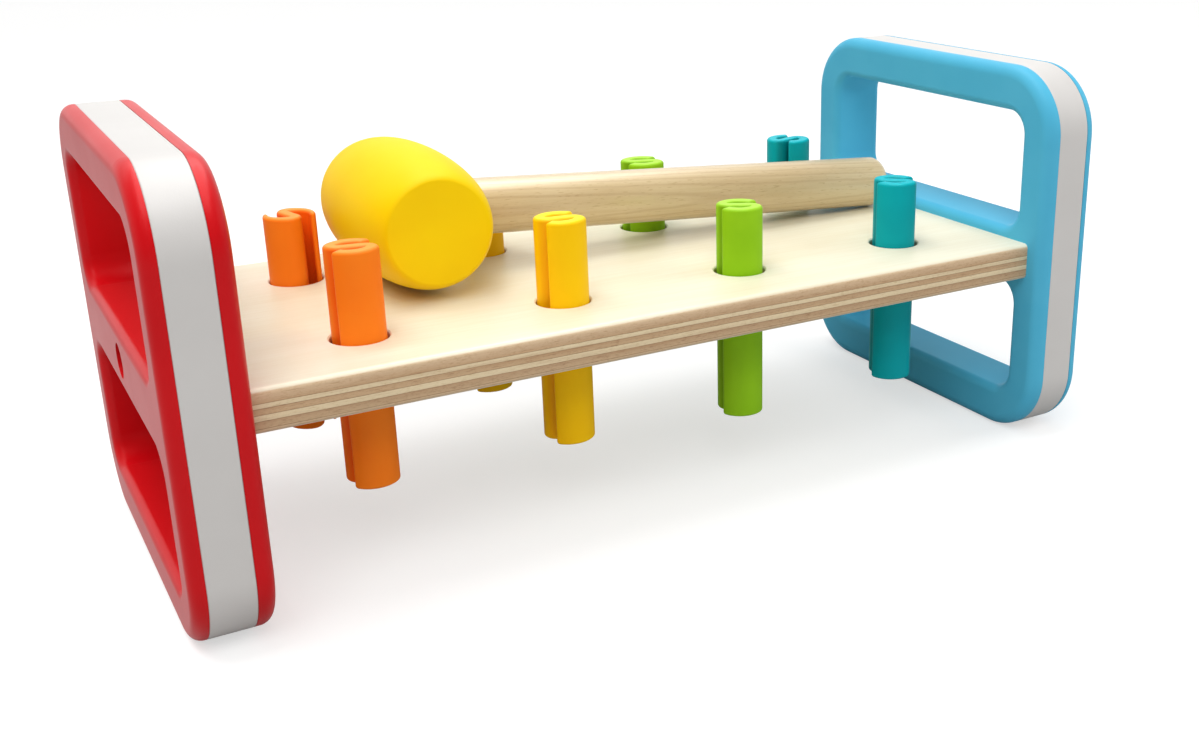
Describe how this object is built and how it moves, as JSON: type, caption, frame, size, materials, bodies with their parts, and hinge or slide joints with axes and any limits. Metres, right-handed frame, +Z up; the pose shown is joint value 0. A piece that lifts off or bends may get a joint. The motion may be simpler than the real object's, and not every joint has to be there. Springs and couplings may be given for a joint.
{
  "type": "peg pounding bench",
  "caption": "Toy pounding bench: plywood board between two windowed end frames, springy S-section pegs to knock through and a mallet lying on top.",
  "frame": {"origin": "on the ground, under the middle of the bench", "axes": "+X along the board from the red frame to the blue one, +Y to the back, +Z up"},
  "size_m": [0.295, 0.13, 0.126],
  "materials": {
    "birch_ply": "satin clear coat, bare plies at the edge",
    "orange_plastic": "satin",
    "yellow_plastic": "satin",
    "green_plastic": "satin",
    "teal_plastic": "satin",
    "red_plastic": "satin gloss",
    "blue_plastic": "satin gloss",
    "white_plastic": "satin",
    "screw_steel": "zinc plated",
    "mallet_yellow": "smooth matte",
    "handle_wood": "satin lacquer"
  },
  "bodies": {
    "bench": {"board": "birch_ply", "red_outer_shell": "red_plastic", "red_inner_shell": "red_plastic", "red_rim_band": "white_plastic", "red_frame_screw": "screw_steel", "blue_outer_shell": "blue_plastic", "blue_inner_shell": "blue_plastic", "blue_rim_band": "white_plastic", "blue_frame_screw": "screw_steel"},
    "orange_front": {"peg_orange_front": "orange_plastic"},
    "orange_back": {"peg_orange_back": "orange_plastic"},
    "yellow_front": {"peg_yellow_front": "yellow_plastic"},
    "yellow_back": {"peg_yellow_back": "yellow_plastic"},
    "green_front": {"peg_green_front": "green_plastic"},
    "green_back": {"peg_green_back": "green_plastic"},
    "teal_front": {"peg_teal_front": "teal_plastic"},
    "teal_back": {"peg_teal_back": "teal_plastic"},
    "mallet": {"mallet_head": "mallet_yellow", "mallet_handle": "handle_wood"}
  },
  "joints": [
    {"name": "orange_front_knock", "type": "slide", "parent": "bench", "child": "orange_front", "axis": [0, 0, 1], "range_m": [-0.0255, 0.0305]},
    {"name": "orange_back_knock", "type": "slide", "parent": "bench", "child": "orange_back", "axis": [0, 0, 1], "range_m": [-0.0208, 0.0352]},
    {"name": "yellow_front_knock", "type": "slide", "parent": "bench", "child": "yellow_front", "axis": [0, 0, 1], "range_m": [-0.025, 0.031]},
    {"name": "yellow_back_knock", "type": "slide", "parent": "bench", "child": "yellow_back", "axis": [0, 0, 1], "range_m": [-0.0207, 0.0353]},
    {"name": "green_front_knock", "type": "slide", "parent": "bench", "child": "green_front", "axis": [0, 0, 1], "range_m": [-0.0209, 0.0351]},
    {"name": "green_back_knock", "type": "slide", "parent": "bench", "child": "green_back", "axis": [0, 0, 1], "range_m": [-0.0235, 0.0325]},
    {"name": "teal_front_knock", "type": "slide", "parent": "bench", "child": "teal_front", "axis": [0, 0, 1], "range_m": [-0.0214, 0.0346]},
    {"name": "teal_back_knock", "type": "slide", "parent": "bench", "child": "teal_back", "axis": [0, 0, 1], "range_m": [-0.0248, 0.0312]},
    {"name": "mallet_lift", "type": "slide", "parent": "bench", "child": "mallet", "axis": [0, 0, 1], "range_m": [0, 0.1]}
  ]
}
